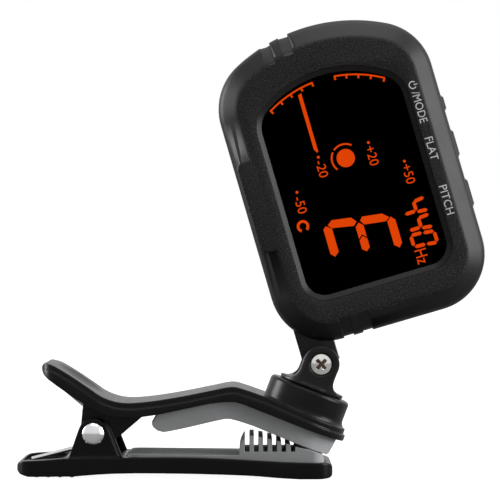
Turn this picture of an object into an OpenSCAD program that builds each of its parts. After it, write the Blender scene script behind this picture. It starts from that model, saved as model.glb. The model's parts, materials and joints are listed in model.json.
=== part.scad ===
// Clip-on instrument tuner: a sprung clip carries a display head on a swivel and a tilt joint.
// +X runs towards the jaw tips, +Z is up and the display faces -Y. The clip lies on z = 0.
// The head's own frame has its origin in the middle of the display, x across it and z up it.

/* [Head] */
// Width of the head across its straight sides
head_w = 41.5; // [41:0.5:43]
// Height of the head above the middle of the display
head_top = 29.6; // [29:0.2:31]
// Depth of the head below the middle of the display
head_bottom = 28.9; // [28.5:0.2:30]
// Lean of the head at rest, to the left of upright
head_lean = 16.3; // [0:0.1:20]
// Depth of the bezel's face in front of the tilt plane
face_y = 6.2; // [6:0.1:6.6]
// Depth of the back of the head behind the tilt plane
back_y = 5.6; // [5.5:0.1:6]
// Wall of both head shells
shell_wall = 1.5; // [1.4:0.1:1.6]

/* [Display] */
// Width of the window at the bezel's face
window_w = 29.5; // [28:0.5:30]
// Height of the window above the middle of the display
window_top = 20.8; // [19:0.2:21]
// Depth of the window below the middle of the display
window_bottom = 21.1; // [20:0.2:22]

/* [Clip] */
// Width of both jaws
jaw_w = 18.6; // [18:0.2:19]
// Radius of the hinge pin
pin_r = 1.5; // [1.3:0.1:1.5]
// Width of the slots cut across the lower pad
slot_w = 0.85; // [0.6:0.05:0.9]

/* [Swivel] */
// Tilt of the swivel axis, forward of upright
turret_lean = 21; // [19:0.5:23]
// Radius of the turret on the upper jaw
turret_r = 7.85; // [7.6:0.05:7.9]
// Radius of the fork's base disc
fork_r = 6.25; // [6:0.05:6.6]
// Height of the tilt screw above the turret's top
tilt_h = 5.1; // [5:0.1:5.6]

/* [Hidden] */
$fn = 96;

// Places in the clip: the hinge pin and the middle of the turret's top, as x and z
pivot = [-29.2, 8.4];
turret = [11.55, 16.43];
jaw_half = jaw_w / 2;
run_gap = 0.05; // radial clearance of a running fit

// Head outline: half width, top, bottom, arch radius, top and bottom corner radii
head_shape = [head_w / 2, head_top, head_bottom, 32.5, 11, 10.75];
window_shape = [window_w / 2, window_top, window_bottom, 21.6, 6, 4.8];
window_step_y = -5.65; // depth at which the window steps in
window_ledge = 1;
split_y = 0.4; // where the two shells meet
plate_y = 1.2; // thickness of the bezel's and the rear housing's flat plates
neck_at = [-15.25, -32.26]; // the tilt axis in the head's frame
neck_mid = neck_at[0] + 0.25; // the neck runs up a little to the right of its pivot
neck_half = [3.45, 2.2]; // half width and half thickness of the neck
boss_at = [[16.65, 15.6], [-16.65, 15.6], [16.65, -15.5], [-16.65, -15.5]];
boss_r = 1.8;
notch_at = [-8.6, -4.85]; // the grooves over the top and bottom edges
battery_at = [0, -1];
battery_r = 10;
cover_r = 12;
lug_count = 3;
lug_arc = 24; // angle that one bayonet lug covers
cover_turn = 45; // turn between locked and free
pcb_y = [-1.2, -0.2];
button_y = 0.6; // middle of the buttons' depth
button_travel_gap = 0.15;
// Each button's middle height and length
mode_key = [8.6, 3.0];
flat_key = [0.65, 5.3];
pitch_key = [-9.1, 5.4];

// Smooth curve through a few points, with n steps between each two
function curve_point(a, b, c, d, t) =
    0.5 * (2 * b + (c - a) * t + (2 * a - 5 * b + 4 * c - d) * t * t
           + (3 * b - a - 3 * c + d) * t * t * t);
function curve(p, n) = concat(
    [for (i = [0:len(p) - 2]) for (k = [0:n - 1])
        curve_point(p[max(i - 1, 0)], p[i], p[i + 1], p[min(i + 2, len(p) - 1)], k / n)],
    [p[len(p) - 1]]);
// Point where a line from p touches a circle; side is 1 or -1
function touch(p, c, r, side) =
    let (d = norm(p - c), a = atan2(p[1] - c[1], p[0] - c[0]) + side * acos(r / d))
    c + r * [cos(a), sin(a)];
// A point s across and h up the turret's frame, as x and z in the clip's frame
function on_turret(s, h) =
    turret + s * [cos(turret_lean), -sin(turret_lean)] + h * [sin(turret_lean), cos(turret_lean)];
tilt_at = on_turret(0, tilt_h);
function top_corner(s) =
    [s[0] - s[4], s[1] - s[3] + sqrt(pow(s[3] - s[4], 2) - pow(s[0] - s[4], 2))];

// ---- Frames and plain helpers ----
module in_turret() translate([turret[0], 0, turret[1]]) rotate([0, turret_lean, 0]) children();
module in_head() translate([tilt_at[0], 0, tilt_at[1]]) rotate([0, -head_lean, 0])
    translate([-neck_at[0], 0, -neck_at[1]]) children();
// Extrudes an x-z outline from depth y0 to depth y1
module slab(y0, y1) translate([0, y1, 0]) rotate([90, 0, 0]) linear_extrude(y1 - y0) children();
module slab_both(y0, y1) {
    slab(y0, y1) children();
    slab(-y1, -y0) children();
}
module rod(at, r, y0, y1) slab(y0, y1) translate(at) circle(r);
module block(x, y, z) translate([x[0], y[0], z[0]]) cube([x[1] - x[0], y[1] - y[0], z[1] - z[0]]);
module rounded(x, y, r) {
    translate([x[0] + r, y[0]]) square([x[1] - x[0] - 2 * r, y[1] - y[0]]);
    translate([x[0], y[0] + r]) square([x[1] - x[0], y[1] - y[0] - 2 * r]);
    for (u = [x[0] + r, x[1] - r], v = [y[0] + r, y[1] - r]) translate([u, v]) circle(r);
}
// Cross recess of a screw head, sunk along -z from z = 0
module cross_recess(reach, depth) translate([0, 0, -depth / 2]) rotate([0, 0, 45]) {
    cube([reach * 2, reach * 0.55, depth], center = true);
    cube([reach * 0.55, reach * 2, depth], center = true);
}

// ---- The head's arched outline, flat and with a shaped rim ----
module arched_face(s, inset = 0) {
    corner = top_corner(s);
    arch_z = s[1] - s[3];
    low_z = s[5] - s[2];
    low_x = s[0] - s[5];
    for (m = [-1, 1]) {
        translate([m * corner[0], corner[1]]) circle(s[4] - inset);
        translate([m * low_x, low_z]) circle(s[5] - inset);
    }
    translate([inset - s[0], low_z]) square([2 * (s[0] - inset), corner[1] - low_z]);
    translate([-low_x, inset - s[2]]) square([2 * low_x, s[5] - inset + 1]);
    intersection() {
        translate([0, arch_z]) circle(s[3] - inset);
        polygon([[0, arch_z], [-2 * corner[0], 2 * corner[1] - arch_z],
                 [2 * corner[0], 2 * corner[1] - arch_z]]);
    }
}
function arc(at, r, from, to, n) =
    [for (i = [0:n]) at + r * [cos(from + (to - from) * i / n), sin(from + (to - from) * i / n)]];
function arched_points(s, inset) =
    let (corner = top_corner(s),
         arch = [0, s[1] - s[3]],
         low = [s[0] - s[5], s[5] - s[2]],
         spread = atan2(corner[0], corner[1] - arch[1]))
    concat(arc(low, s[5] - inset, -90, 0, 10),
           arc(corner, s[4] - inset, 0, 90 - spread, 7),
           arc(arch, s[3] - inset, 90 - 0.8 * spread, 90 + 0.8 * spread, 8),
           arc([-corner[0], corner[1]], s[4] - inset, 90 + spread, 180, 7),
           arc([-low[0], low[1]], s[5] - inset, 180, 270, 10));
// Body with the arched outline; its rim is a list of [inset, y] from the back to the front
module arched_solid(s, rim) {
    rings = [for (p = rim) [for (q = arched_points(s, p[0])) [q[0], p[1], q[1]]]];
    n = len(rings[0]);
    last = len(rim) - 1;
    polyhedron(points = [for (ring = rings) each ring], faces = concat(
        [[for (k = [0:n - 1]) k]],
        [for (i = [0:last - 1]) for (k = [0:n - 1])
            [i * n + k, (i + 1) * n + k, (i + 1) * n + (k + 1) % n, i * n + (k + 1) % n]],
        [[for (k = [n - 1:-1:0]) last * n + k]]));
}

// ---- Clip ----
jaw_top = [[-38.3, 21.6], [-36.4, 21], [-33.5, 19.3], [-30.2, 17.1], [-27.2, 15.15],
           [-23.5, 14.2], [-18.5, 14.5], [-12.5, 15.45], [-7, 16.55], [-3.4, 17.2],
           [-0.9, 16.65], [3.1, 15.25]];
jaw_under = [[0.8, 13.15], [-2.8, 14.35], [-7.2, 14.1], [-12.5, 13], [-18.5, 11.8],
             [-23.5, 11.4], [-27.2, 12], [-30.9, 13.95], [-34.6, 16.45], [-37.6, 18.5]];
jaw_tip = [[-38.5, 19.3], [-38.95, 20.1], [-39, 20.7], [-38.8, 21.25]];
jaw_end = 39.1; // reach of the thumb end behind the origin
nose_top_h = -4.95; // heights of the jaw's front slab under the turret's top
nose_under_h = -7.15;
jaw_roof = 1.7; // roof over the jaw's hollow underside
jaw_rim_h = 1.2; // height of the set-back band along the jaw's upper edge
jaw_step = 0.45;
dish_at = [-18.44, 39.69]; // middle and radius of the ball that hollows the thumb rest
dish_r = 26;
pad_h = 3.3;
pad_root = 0.4; // how far the upper pad stands up into the jaw
ear_r = 2.85;
web_y = [5.7, 7.1];
ear_y = [7.4, 8.8];
coil_r = 2.05;
wire_r = 0.45;
coil_half = 2.3;

module jaw_profile() polygon(concat(
    curve(jaw_top, 4), [on_turret(9.8, nose_top_h), on_turret(9.8, nose_under_h)],
    curve(jaw_under, 4), jaw_tip));
// Plan of the upper jaw: round about the turret at the nose, round corners at the thumb end
module jaw_plan(half, back) intersection() {
    in_turret() translate([0, 0, -40]) linear_extrude(80) {
        circle(half);
        translate([-90, -half]) square([90, 2 * half]);
    }
    translate([0, 0, -10]) linear_extrude(60) rounded([-back, 40], [-half, half], half * 0.45);
}
module jaw_layer(half, back) intersection() {
    slab(-half, half) children();
    jaw_plan(half, back);
}
module web_outline() {
    translate(pivot) circle(ear_r);
    polygon([[-31, 16.2], [-31.6, 10], touch([-31.6, 10], pivot, ear_r, 1), pivot,
             [-27.4, 6.2], [-26.2, 6.3], [-18, 13.3], [-23, 13.7], [-27.5, 14.6]]);
}
// Half section of the turret: a rounded top edge, and a flare into the jaw at its foot
turret_edge = 0.7;
flare_h = [-3.7, -5.1];
module turret_section() {
    translate([0, -6.1]) square([turret_r - turret_edge, 6.1]);
    translate([0, -6.1]) square([turret_r, 6.1 - turret_edge]);
    translate([turret_r - turret_edge, -turret_edge]) circle(turret_edge);
    polygon([[turret_r - 0.5, flare_h[0]], [turret_r, flare_h[0]], [turret_r + 0.12, -4.2],
             [turret_r + 0.4, -4.65], [turret_r + 0.95, flare_h[1]], [turret_r - 0.5, flare_h[1]]]);
}
module upper_jaw() color([0.08, 0.08, 0.085]) difference() {
    union() {
        difference() {
            union() {
                jaw_layer(jaw_half - jaw_step, jaw_end) jaw_profile();
                jaw_layer(jaw_half, jaw_end) intersection() {
                    jaw_profile();
                    translate([0, -jaw_rim_h]) jaw_profile();
                }
            }
            translate([0, 0, -jaw_roof]) jaw_layer(jaw_half - 1.5, jaw_end - 1.5) jaw_profile();
        }
        in_turret() rotate_extrude() turret_section();
        slab_both(web_y[0], web_y[1]) web_outline();
        // Rest for the spring's upper leg
        block([-36, -35], [coil_half - 1, coil_half + 1], [17.3, 19.4]);
    }
    // Thumb dish, a shallow part of a large ball
    intersection() {
        translate([dish_at[0], 0, dish_at[1]]) sphere(r = dish_r);
        block([-39, -27.2], [-9, 9], [12, 24]);
    }
    in_turret() translate([0, 0, -12]) cylinder(r = 5.6, h = 9.6);
    in_turret() translate([0, 0, -12]) cylinder(r = 2.5 + run_gap, h = 14);
    rod(pivot, pin_r + run_gap, -9, 9);
}

module upper_pad() color([0.46, 0.46, 0.47]) {
    intersection() {
        slab(-8, 8) upper_pad_outline();
        pad_plan(8);
    }
    intersection() {
        translate([0, 0, pad_root]) slab(-7.4, 7.4) upper_pad_outline();
        pad_plan(7.4);
    }
}
module upper_pad_outline() polygon(concat(
    curve([[0.8, 13.15], [-2.8, 14.35], [-7.2, 14.1], [-12.5, 13], [-17.3, 12.03]], 4),
    [[-18.35, 10.2], [-18, 9.55], [-17.2, 8.95]],
    curve([[-16.2, 8.7], [-15, 8.85], [-11.2, 9.65], [-6, 10.85], [-3.6, 11.1], [0.6, 9.83]], 3),
    [on_turret(7.05, nose_under_h - pad_h), on_turret(7.45, nose_under_h - pad_h + 0.35),
     on_turret(7.95, nose_under_h)]));
module pad_plan(half) in_turret() translate([0, 0, -40]) linear_extrude(80) {
    circle(half);
    translate([-90, -half]) square([90, 2 * half]);
}

foot_x = [9, 13.6]; // flat under the jaw's tip
jaw_back = -43.6;
jaw_front = 15.45;
tray_z = 2.7;
nub_x = [-40, -37.8, -35.6, -33.4];
nub_r = 0.55;
module lower_profile() polygon(concat(
    [[jaw_back, 2.4], [-43.3, 3], [-42.4, 3.35]],
    curve([[-38, 3.6], [-33, 3.95], [-24, 4.05], [-10, 4], [0, 3.55], [7, 3.15], [13.6, 3]], 3),
    [[14.7, 2.9], [15.25, 2.6], [jaw_front, 2.1], [jaw_front, 0.8], [15.3, 0.4], [14.9, 0.15],
     [foot_x[1], 0], [foot_x[0], 0]],
    curve([[5, 0.25], [-1, 0.7], [-13, 1.05], [-25, 1.05], [-33, 0.5]], 3),
    [[-41.4, 0.45], [-42.9, 0.85], [jaw_back, 1.5]]));
ear_step = 0.65; // how far each ear's inner layer stands out towards the jaw tips
// Outline of a lower ear, widened to the right by step
module ear_outline(step = 0) {
    left = [-34.1, 3];
    right = [-24 + step, 3];
    widened = pivot + [step, 0];
    translate(pivot) circle(ear_r);
    translate(widened) circle(ear_r);
    polygon([left, touch(left, pivot, ear_r, -1), pivot, widened, touch(right, widened, ear_r, 1),
             right]);
}
module lower_jaw() color([0.08, 0.08, 0.085]) {
    difference() {
        intersection() {
            slab(-jaw_half, jaw_half) lower_profile();
            translate([0, 0, -1]) linear_extrude(8)
                rounded([jaw_back, jaw_front], [-jaw_half, jaw_half], 3.4);
        }
        // Tray for the pad, and the hollow of the rear handle where the spring's leg lies
        translate([0, 0, tray_z]) linear_extrude(5) rounded([-23.2, 14.1], [-7.9, 7.9], 2.4);
        translate([0, 0, 2.6]) linear_extrude(5) rounded([-42.6, -34.6], [-7.4, 7.4], 2.6);
    }
    difference() {
        union() {
            slab_both(ear_y[0], ear_y[1]) ear_outline();
            slab_both(ear_y[0], ear_y[1] - 0.7) ear_outline(ear_step);
        }
        rod(pivot, pin_r + 0.02, -10, 10);
    }
    for (x = nub_x) translate([x, -6, nub_r]) rotate([-90, 0, 0]) cylinder(r = nub_r, h = 12);
}

comb_top = [[-2, 4.3], [-1.95, 5.6], [-1.6, 6.8], [-1.1, 7.6], [-0.5, 7.95]];
slot_x = [for (i = [0:5]) -0.55 + 1.71 * i];
module lower_pad() color([0.46, 0.46, 0.47]) difference() {
    intersection() {
        slab(-7.7, 7.7) polygon(concat(
            [[-23, tray_z], [-23, 4.3], [-22.6, 4.5]], [[-2.6, 4.3]], curve(comb_top, 3),
            [[0.8, 7.95], [5.6, 6.9], [8.1, 6.1], [8.55, 5.9], [11.3, 5.3], [12.4, 4.85],
             [13.4, 4.4], [13.75, 3.9], [13.9, 3.2], [13.9, tray_z]]));
        linear_extrude(12) rounded([-23, 13.9], [-7.7, 7.7], 2.3);
    }
    for (x = slot_x) block([x - slot_w / 2, x + slot_w / 2], [-9, 9], [5, 12]);
}

dome_h = 0.9;
dome_a = 2.05; // radius of the rivet's head at its rim
dome_r = (dome_a * dome_a + dome_h * dome_h) / (2 * dome_h);
module pivot_pin() color([0.85, 0.85, 0.87]) {
    rod(pivot, pin_r, -8.85, 8.85);
    for (m = [-1, 1]) intersection() {
        translate([pivot[0], m * (ear_y[1] + dome_h - dome_r), pivot[1]]) sphere(r = dome_r);
        rod(pivot, 3, m > 0 ? ear_y[1] : -12, m > 0 ? 12 : -ear_y[1]);
    }
}

// Spring wire: a straight leg, the coil about the pin, and a second leg
leg_low_turn = -75.4;
leg_high_turn = 50.5 + 4 * 360;
leg_low = 12.9;
leg_high = 12;
ring_sides = 8;
wire_turns = [for (i = [0:100]) leg_low_turn + (leg_high_turn - leg_low_turn) * i / 100];
function wire_centre(a, along) =
    [pivot[0] + coil_r * cos(a) - along * sin(a),
     -coil_half + 2 * coil_half * (a - leg_low_turn) / (leg_high_turn - leg_low_turn),
     pivot[1] + coil_r * sin(a) + along * cos(a)];
function wire_ring(a, along) = [for (k = [0:ring_sides - 1])
    let (q = 360 * k / ring_sides)
    wire_centre(a, along) + wire_r * [cos(q) * cos(a), sin(q), cos(q) * sin(a)]];
wire_rings = concat([wire_ring(leg_low_turn, -leg_low)], [for (a = wire_turns) wire_ring(a, 0)],
                    [wire_ring(leg_high_turn, leg_high)]);
module torsion_spring() color([0.8, 0.8, 0.82]) {
    n = ring_sides;
    count = len(wire_rings);
    polyhedron(points = [for (r = wire_rings) each r], faces = concat(
        [[for (k = [0:n - 1]) k]],
        [for (i = [0:count - 2]) for (k = [0:n - 1])
            [i * n + k, (i + 1) * n + k, (i + 1) * n + (k + 1) % n, i * n + (k + 1) % n]],
        [[for (k = [n - 1:-1:0]) (count - 1) * n + k]]));
}

// ---- Swivel and tilt ----
ear_gap = 2.5; // half the gap between the fork's ears
fork_half = 5.6; // outer face of each ear
stud_r = 2.5;
waist_r = 2.2;
waist_at = [5.6, 2.9];
screw_r = 1;
head_seat = 1.2; // depth of the tilt screw's counterbore
module fork_outline() {
    difference() {
        translate([-fork_r, 0.1]) square([2 * fork_r, waist_at[1] - 0.1]);
        for (m = [-1, 1]) {
            translate([m * waist_at[0], waist_at[1]]) circle(waist_r);
            translate([m * (waist_at[0] + 3), waist_at[1] + 1]) square([6, 6.6 - waist_r],
                                                                        center = true);
        }
    }
    translate([-3.4, 2]) square([6.8, tilt_h - 2]);
    translate([0, tilt_h]) circle(3.45);
}
module swivel_fork() color([0.09, 0.09, 0.095]) in_turret() difference() {
    union() {
        intersection() {
            slab(-fork_half, fork_half) fork_outline();
            cylinder(r = fork_r, h = 20);
        }
        translate([0, 0, 0.1]) cylinder(r = fork_r, h = 0.65);
        translate([0, 0, -2.6]) cylinder(r = stud_r, h = 3);
    }
    slab(-ear_gap, ear_gap) translate([-10, 1.2]) square([20, 20]);
    rod([0, tilt_h], screw_r + run_gap, -10, 10);
    rod([0, tilt_h], 2.15, -10, -fork_half + head_seat);
    translate([0, fork_half - 1.7, tilt_h]) rotate([-90, 0, 0]) cylinder(r = 2.36, h = 5, $fn = 6);
    translate([0, 0, -3]) cylinder(r = 0.8, h = 4);
}
module swivel_washer() color([0.75, 0.75, 0.77]) in_turret() difference() {
    translate([0, 0, -3.05]) cylinder(r = 4.2, h = 0.4);
    translate([0, 0, -4]) cylinder(r = 0.9, h = 3);
}
module swivel_screw() color([0.75, 0.75, 0.77]) in_turret() difference() {
    union() {
        translate([0, 0, -4.1]) cylinder(r = 1.8, h = 1);
        translate([0, 0, -3.5]) cylinder(r = 0.75, h = 4);
    }
    translate([0, 0, -4.1]) mirror([0, 0, 1]) cross_recess(0.95, 0.7);
}
module tilt_screw() color([0.86, 0.85, 0.84]) in_turret()
    translate([0, 0, tilt_h]) rotate([90, 0, 0]) difference() {
        union() {
            translate([0, 0, fork_half - head_seat + 0.05]) cylinder(r = 1.95, h = 0.75);
            intersection() {
                translate([0, 0, fork_half - 5.15]) sphere(r = 5.1);
                translate([0, 0, fork_half - 0.5]) cylinder(r = 1.95, h = 1);
            }
            translate([0, 0, -fork_half + 0.3]) cylinder(r = screw_r, h = 2 * fork_half - 1);
        }
        translate([0, 0, fork_half]) rotate([0, 0, turret_lean]) cross_recess(1.2, 0.8);
    }
module tilt_nut() color([0.75, 0.75, 0.77]) in_turret() difference() {
    translate([0, fork_half - 1.65, tilt_h]) rotate([-90, 0, 0])
        cylinder(r = 2.3, h = 1.5, $fn = 6);
    rod([0, tilt_h], screw_r + 0.01, 0, 10);
}

// ---- Head shells ----
module neck() color([0.08, 0.08, 0.085]) in_head() difference() {
    slab(-neck_half[1], neck_half[1]) {
        translate(neck_at) circle(3.45);
        translate([neck_mid - neck_half[0], neck_at[1]]) square([2 * neck_half[0], 10.5]);
        translate([neck_mid, -25.4]) square([6.6, 3.6]);
    }
    rod(neck_at, screw_r + run_gap, -5, 5);
    rod([neck_mid, -24.1], 1.1, -5, 5);
}
module neck_slot() slab(-neck_half[1] - 0.05, neck_half[1] + 0.05)
    translate([neck_mid - neck_half[0] - 0.05, -34]) square([2 * neck_half[0] + 0.1, 13]);
// Slots for the three buttons through the right-hand wall
module key_slots() for (key = [mode_key, flat_key, pitch_key])
    block([head_w / 2 - 2.2, head_w / 2 + 1],
          [button_y - 1.1 - button_travel_gap, button_y + 1.1 + button_travel_gap],
          [key[0] - key[1] / 2 - button_travel_gap, key[0] + key[1] / 2 + button_travel_gap]);
notch_w = 2.1;
notch_d = 0.45;
bevel_tilt = -49.9;
function arch_height(u) = head_top - head_shape[3] + sqrt(head_shape[3] * head_shape[3] - u * u);
module edge_notches(y0, y1) for (u = notch_at) {
    block([u - notch_w / 2, u + notch_w / 2], [y0, y1],
          [arch_height(u) - notch_d, arch_height(u) + 3]);
    block([u - notch_w / 2, u + notch_w / 2], [y0, y1], [-head_bottom - 3, -head_bottom + 0.3]);
}
// The notches run on down the bevel, square to it
module bevel_notches() for (u = notch_at) for (m = [0, 1])
    mirror([0, 0, m]) translate([u, -3.95, (m > 0 ? head_bottom : arch_height(u)) - 0.95])
        rotate([bevel_tilt, 0, 0])
            translate([-notch_w / 2, -3, -3.4]) cube([notch_w, 3.35, 4.6]);
bezel_rim = [[0, split_y], [0, -1.6], [0.12, -2.6], [0.45, -3.35], [0.95, -3.95],
             [3.4, -6.02], [3.75, -face_y]];
module front_bezel() color([0.2, 0.2, 0.205]) in_head() difference() {
    union() {
        difference() {
            union() {
                arched_solid(head_shape, bezel_rim);
                // Flat land that carries the face out over the left-hand bevel
                slab(-face_y, -1.2) rounded([-20.2, -15.5], [-9.4, 8.2], 1.2);
            }
            arched_solid(head_shape, [[shell_wall, split_y + 1], [shell_wall, -3],
                                      [3.6, -3], [3.6, plate_y - face_y]]);
        }
        for (b = boss_at) rod(b, boss_r, plate_y - face_y - 0.2, split_y);
    }
    slab(-face_y - 1, window_step_y) arched_face(window_shape);
    slab(-face_y, plate_y - face_y + 0.1) arched_face(window_shape, window_ledge);
    for (b = boss_at) rod(b, 0.8, -3.4, split_y + 1);
    neck_slot();
    key_slots();
    edge_notches(-3, 1);
    bevel_notches();
}
rear_rim = [[2.7, back_y], [1.6, 5.1], [0.75, 4.3], [0.2, 3.3], [0, 2.2], [0, split_y]];
battery_ring = [10.3, 11.3];
module rear_housing() color([0.2, 0.2, 0.205]) in_head() difference() {
    union() {
        difference() {
            arched_solid(head_shape, rear_rim);
            arched_solid(head_shape, [[2.4, back_y - plate_y], [shell_wall, 2.6],
                                      [shell_wall, -1]]);
        }
        for (b = boss_at) rod(b, boss_r, split_y, back_y - 0.4);
        rod([neck_mid, -24.1], 1.05, split_y - 2, back_y - 0.4);
        rod(battery_at, cover_r + 2.2, back_y - 1.9, back_y - 0.4);
        rod(battery_at, battery_ring[1], 1.2, back_y - 0.4);
    }
    rod(battery_at, battery_ring[0], -1, back_y);
    rod(battery_at, cover_r + 0.15, back_y - plate_y, back_y + 1);
    rod(battery_at, cover_r + 1.1, back_y - plate_y, back_y - 0.5);
    // Entries for the cover's lugs
    for (i = [0:lug_count - 1]) translate([battery_at[0], back_y - plate_y, battery_at[1]])
        rotate([-90, 0, 0]) rotate([0, 0, -(120 * i - cover_turn) - 2 * lug_arc / 3])
            rotate_extrude(angle = 4 * lug_arc / 3) translate([cover_r - 1, 0]) square([2, 3]);
    for (b = boss_at) {
        rod(b, 0.9, -2, back_y);
        rod(b, 1.65, back_y - 1.4, back_y + 1);
    }
    block([-13, -9], [0, 3.7], [battery_at[1] - 2.3, battery_at[1] + 2.3]);
    neck_slot_rear();
    key_slots();
    edge_notches(0, 2.6);
}
// The slot for the neck keeps clear of the post that goes through its root
module neck_slot_rear() difference() {
    neck_slot();
    rod([neck_mid, -24.1], 1, -6, 6);
}
module battery_cover() color([0.2, 0.2, 0.205]) in_head() difference() {
    translate([battery_at[0], 0, battery_at[1]]) {
        rod([0, 0], cover_r, back_y - plate_y + 0.1, back_y);
        for (i = [0:lug_count - 1]) translate([0, back_y - plate_y + 0.1, 0])
            rotate([-90, 0, 0]) rotate([0, 0, -120 * i - lug_arc / 2])
                rotate_extrude(angle = lug_arc) translate([cover_r - 1, 0]) square([1.9, 0.45]);
    }
    block([battery_at[0] - 6.5, battery_at[0] + 6.5], [back_y - 0.6, back_y + 1],
          [battery_at[1] - 0.9, battery_at[1] + 0.9]);
}
module housing_screws() color([0.3, 0.3, 0.31]) in_head()
    for (b = boss_at) translate([b[0], back_y - 1.35, b[1]]) rotate([-90, 0, 0]) difference() {
        union() {
            cylinder(r = 1.5, h = 1.1);
            translate([0, 0, -6.4]) cylinder(r = 0.75, h = 6.5);
        }
        translate([0, 0, 1.1]) cross_recess(0.85, 0.7);
    }

// ---- Display stack ----
lcd_z = [-20.8, 19.6];
module display_lens() color([0.02, 0.02, 0.022]) in_head()
    slab(plate_y - face_y, plate_y - face_y + 0.8) arched_face(window_shape);
module lcd_panel() color([0.1, 0.1, 0.11]) in_head() block([-14.5, 14.5], [-4.1, -2.6], lcd_z);
module backlight() color([0.92, 0.92, 0.9]) in_head() {
    block([-14.2, 14.2], [-2.6, -1.5], [-18.4, 19.4]);
    for (u = [-12, 12], w = [-17, 18]) rod([u, w], 0.6, -1.6, -1.2);
}
module zebra_strip() color([0.85, 0.45, 0.5]) in_head()
    block([-13, 13], [-2.6, -1.2], [-20.6, -18.8]);

// ---- Electronics ----
module circuit_board() color([0.05, 0.3, 0.15]) in_head() difference() {
    slab(pcb_y[0], pcb_y[1]) intersection() {
        arched_face(head_shape, 2.8);
        translate([-25, -20.9]) square([50, 60]);
    }
    for (b = boss_at) rod(b, boss_r + 0.15, -3, 3);
}
// Rows of pins along two sides of a chip, set about x and z
module pins(at, half, count, pitch, reach) for (m = [-1, 1], i = [0:count - 1])
    block([at[0] + (i - (count - 1) / 2) * pitch - 0.13, at[0] + (i - (count - 1) / 2) * pitch + 0.13],
          [pcb_y[1], pcb_y[1] + 0.35],
          m > 0 ? [at[1] + half - 0.1, at[1] + reach] : [at[1] - reach, at[1] - half + 0.1]);
module tuner_chip() color([0.12, 0.12, 0.13]) in_head() {
    block([1, 8], [pcb_y[1] + 0.1, 0.9], [-19.6, -12.6]);
    pins([4.5, -16.1], 3.5, 11, 0.6, 4.4);
}
module amplifier_chip() color([0.12, 0.12, 0.13]) in_head() {
    block([-9, -4.1], [pcb_y[1] + 0.1, 1], [-18, -14]);
    pins([-6.55, -16], 2, 4, 1.27, 3);
}
module crystal() color([0.8, 0.8, 0.82]) in_head() {
    translate([-4, 0.75, 15.5]) rotate([0, 90, 0]) cylinder(r = 0.95, h = 6);
    for (z = [15.2, 15.8]) block([-5.6, -3.9], [0.65, 0.85], [z - 0.1, z + 0.1]);
    for (z = [15.2, 15.8]) block([-5.6, -5.4], [pcb_y[1], 0.85], [z - 0.1, z + 0.1]);
}
module tact_switches() color([0.75, 0.75, 0.77]) in_head()
    for (key = [mode_key, flat_key, pitch_key]) {
        block([15, 17.4], [pcb_y[1], 1.5], [key[0] - 1.4, key[0] + 1.4]);
        block([17.3, head_w / 2 - 2.6], [0.2, 1.1], [key[0] - 0.6, key[0] + 0.6]);
    }
module piezo_disc() color([0.8, 0.65, 0.3]) in_head() {
    rod([0, 19.8], 6, back_y - plate_y - 0.25, back_y - plate_y);
    rod([0, 19.8], 4.2, back_y - plate_y - 0.45, back_y - plate_y - 0.2);
}
module battery() color([0.78, 0.78, 0.8]) in_head() {
    rod(battery_at, battery_r, 1.3, 4.2);
    rod(battery_at, 8.9, 1, 1.4);
}
module battery_contact_positive() color([0.8, 0.75, 0.6]) in_head() {
    block([-10.75, -10.4], [pcb_y[1], 3.4], [battery_at[1] - 1.8, battery_at[1] + 1.8]);
    block([-13.4, -10.4], [pcb_y[1], 0], [battery_at[1] - 1.8, battery_at[1] + 1.8]);
}
module battery_contact_negative() color([0.8, 0.75, 0.6]) in_head() {
    for (w = [-3.5, 1.5]) translate([0, 0, battery_at[1] + w]) linear_extrude(2)
        polygon([[4, pcb_y[1]], [5, 0], [2.6, 0], [-2.8, 0.95], [-4, 0.95],
                 [-4, 0.75], [-2.9, 0.75], [1.2, 0], [1.2, pcb_y[1]]]);
    block([1.2, 5], [pcb_y[1], 0], [battery_at[1] - 3.5, battery_at[1] + 3.5]);
}

// ---- Buttons ----
module key_cap(key) {
    x = head_w / 2;
    z = [key[0] - key[1] / 2, key[0] + key[1] / 2];
    y = [button_y - 1.1, button_y + 1.1];
    block([x - 2.1, x + 0.3], y, z);
    block([x - 2.1, x + 0.55], [y[0] + 0.25, y[1] - 0.25], [z[0] + 0.3, z[1] - 0.3]);
    block([x - 2.1, x - 1.65], [y[0] - 0.5, y[1] + 0.5], [z[0] - 0.6, z[1] + 0.6]);
}
module mode_button() color([0.1, 0.1, 0.105]) in_head() key_cap(mode_key);
module flat_button() color([0.1, 0.1, 0.105]) in_head() key_cap(flat_key);
module pitch_button() color([0.1, 0.1, 0.105]) in_head() key_cap(pitch_key);

lower_jaw();
lower_pad();
upper_jaw();
upper_pad();
pivot_pin();
torsion_spring();
swivel_fork();
swivel_washer();
swivel_screw();
tilt_screw();
tilt_nut();
neck();
front_bezel();
rear_housing();
display_lens();
lcd_panel();
backlight();
zebra_strip();
circuit_board();
tuner_chip();
amplifier_chip();
crystal();
tact_switches();
piezo_disc();
battery();
battery_contact_positive();
battery_contact_negative();
battery_cover();
mode_button();
flat_button();
pitch_button();
housing_screws();
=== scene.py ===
"""Clip-on tuner: a sprung clip with padded jaws, a swivelling fork, and an arched display head.

Lengths in this script are in millimetres unless a name ends in _m; MM turns them into metres.
The head's own frame has u across the display, w up it, and its origin in the display's middle.
"""

import json
import math

import bmesh
import bpy
from mathutils import Matrix, Vector

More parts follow.
